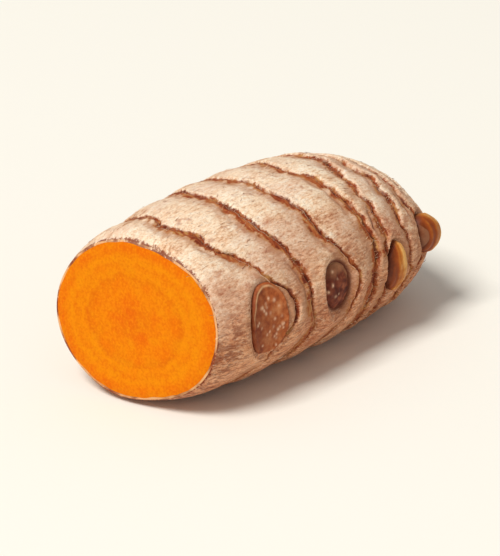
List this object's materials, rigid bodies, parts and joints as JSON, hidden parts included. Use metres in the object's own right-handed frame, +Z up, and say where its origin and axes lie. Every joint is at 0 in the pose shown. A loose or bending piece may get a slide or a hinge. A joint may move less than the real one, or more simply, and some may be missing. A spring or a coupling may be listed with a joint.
{
  "type": "turmeric root",
  "caption": "Fresh turmeric finger lying on its side: ringed, budded skin, a flat slanting slice across the thick end and a rounded growing tip.",
  "frame": {"origin": "on the surface it lies on, under the middle of its box", "axes": "+X along the finger from the sliced end to the growing tip, +Z up as it lies, -Y the side with the first, third, fifth and seventh buds"},
  "size_m": [0.0498, 0.0278, 0.0212],
  "materials": {
    "skin": "dry matt corky skin, tan-pink with red-brown leaf-scar rings",
    "flesh": "moist fine-grained orange flesh where it is sliced, satin",
    "bud": "smooth amber bud scales, satin",
    "sheath": "dry papery remains of leaf sheaths, red-brown"
  },
  "bodies": {
    "root": {"rhizome": "skin"}
  },
  "joints": []
}
